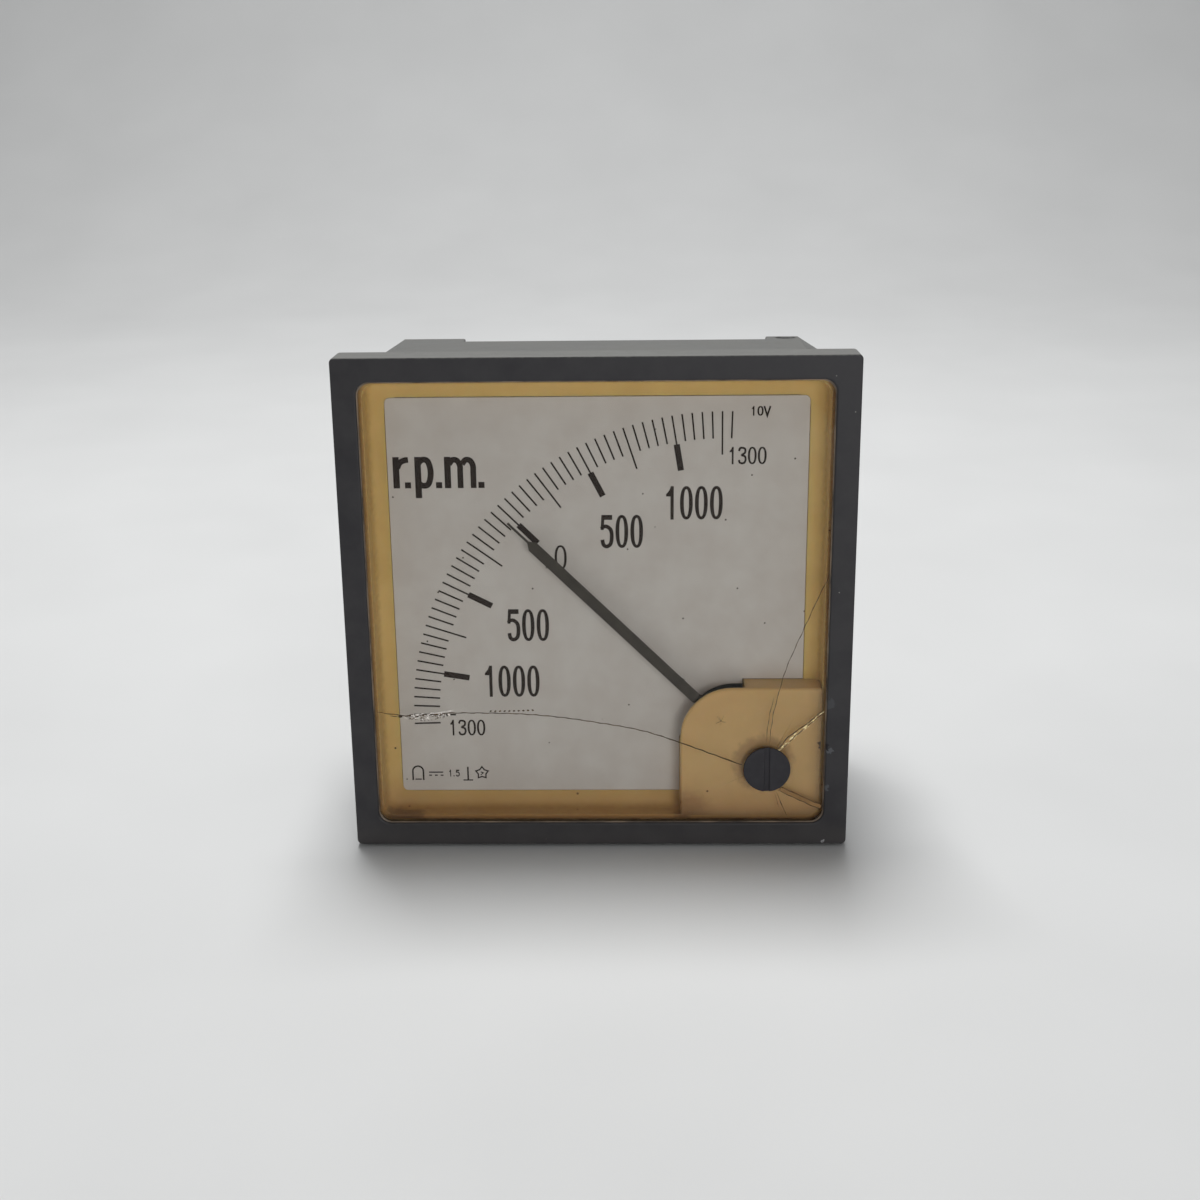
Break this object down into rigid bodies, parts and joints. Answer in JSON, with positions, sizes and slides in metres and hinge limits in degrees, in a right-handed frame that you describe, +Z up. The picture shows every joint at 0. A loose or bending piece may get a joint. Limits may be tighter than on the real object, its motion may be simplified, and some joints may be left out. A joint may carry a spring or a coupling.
{
  "type": "panel tachometer",
  "caption": "Square panel meter that shows shaft speed with a corner pointer over a quarter-circle dial, driven by a moving-coil movement.",
  "frame": {"origin": "centre of the bezel's rear face, in the panel's front plane", "axes": "+Y points into the panel, +Z up on the dial, +X to the right of the dial as a viewer sees it"},
  "size_m": [0.096, 0.0555, 0.096],
  "materials": {
    "bezel_moulding": "satin",
    "pane": "gloss",
    "seal_rubber": "matte",
    "case_moulding": "satin",
    "amber_moulding": "satin",
    "dial_enamel": "matte",
    "dial_ink": "matte",
    "adjuster_moulding": "matte",
    "plated_steel": "satin",
    "brass": "satin",
    "soft_iron": "satin",
    "magnet_alloy": "matte",
    "spring_bronze": "satin",
    "pointer_black": "matte",
    "aluminium": "satin",
    "copper_wire": "gloss",
    "paper_laminate": "satin",
    "pale_moulding": "matte",
    "resistor_lacquer": "satin",
    "trimmer_moulding": "satin",
    "wire_sleeve": "satin"
  },
  "bodies": {
    "case": {"bezel": "bezel_moulding", "window": "pane", "window_seal": "seal_rubber", "housing": "case_moulding", "inner_tray": "amber_moulding", "scale_plate": "dial_enamel", "scale_marks": "dial_ink", "corner_cover": "amber_moulding", "yoke_ring": "soft_iron", "core_magnet": "magnet_alloy", "core_spacers": "brass", "front_bridge": "brass", "rear_bridge": "brass", "front_jewel_screw": "brass", "rear_jewel_screw": "brass", "jewel_lock_nuts": "brass", "bridge_screws": "plated_steel", "movement_screws": "plated_steel", "stop_pins": "brass", "front_hairspring": "spring_bronze", "rear_hairspring": "spring_bronze", "terminal_studs": "brass", "inner_stud_nuts": "brass", "terminal_washers": "plated_steel", "terminal_nuts": "brass", "resistor_board": "paper_laminate", "board_spacers": "pale_moulding", "board_nuts": "brass", "series_resistors": "resistor_lacquer", "calibration_trimmer": "trimmer_moulding", "internal_leads": "wire_sleeve"},
    "moving_coil": {"pointer": "pointer_black", "balance_arms": "brass", "balance_weights": "brass", "coil_former": "aluminium", "coil_winding": "copper_wire", "front_staff": "plated_steel", "rear_staff": "plated_steel", "spring_collets": "brass"},
    "adjuster": {"zero_adjuster": "adjuster_moulding", "adjuster_clip": "plated_steel"},
    "lever": {"zero_lever": "brass"}
  },
  "joints": [
    {"name": "pointer_swing", "type": "hinge", "parent": "case", "child": "moving_coil", "pos_m": [0.0237, 0, -0.0237], "axis": [0, 1, 0], "range_deg": [-47.2, 48], "stiffness_Nm_per_rad": 0.00004, "deforming": ["front_hairspring", "rear_hairspring"]},
    {"name": "zero_turn", "type": "hinge", "parent": "case", "child": "adjuster", "pos_m": [0.03233, 0, -0.03233], "axis": [0, 1, 0], "range_deg": [-45, 45]},
    {"name": "lever_turn", "type": "hinge", "parent": "case", "child": "lever", "pos_m": [0.0237, 0, -0.0237], "axis": [0, 1, 0], "range_deg": [-3.3, 3.3]}
  ],
  "couplings": [
    {"joint": "lever_turn", "follows": "zero_turn", "ratio": 0.0687}
  ]
}
